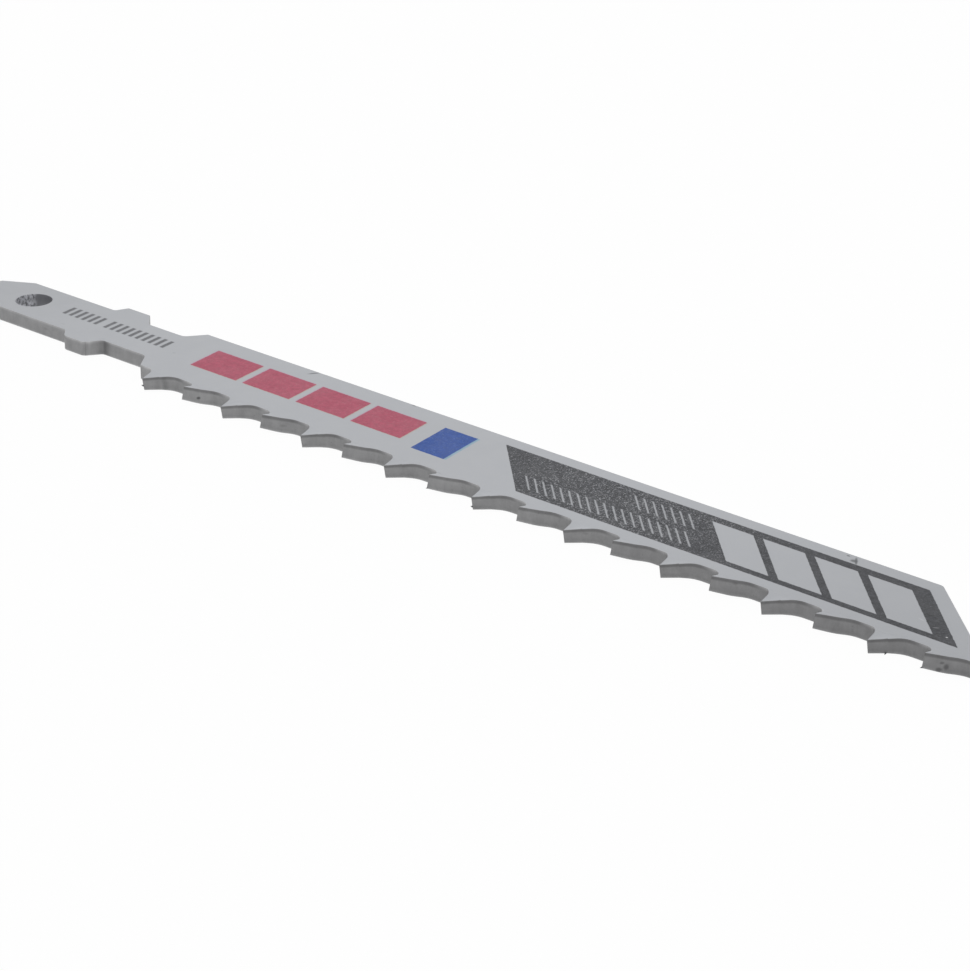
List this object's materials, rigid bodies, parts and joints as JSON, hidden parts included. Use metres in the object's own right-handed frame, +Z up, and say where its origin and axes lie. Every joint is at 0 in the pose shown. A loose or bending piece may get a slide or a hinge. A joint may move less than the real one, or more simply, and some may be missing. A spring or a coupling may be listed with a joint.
{
  "type": "jigsaw blade",
  "caption": "Flat T-shank jigsaw blade with coarse side-set teeth, a slanted nose and a round hole in its tang.",
  "frame": {"origin": "middle of the blade's underside, at the level of the points of the teeth that are set down", "axes": "+X along the blade from the tang to the nose, +Y from the teeth to the back edge, +Z up through the strip's thickness, with the printed face up"},
  "size_m": [0.1006, 0.0096, 0.0015],
  "materials": {
    "blade_steel": "matt light grey blasted steel, printed on one face"
  },
  "bodies": {
    "root": {"blade": "blade_steel"}
  },
  "joints": []
}
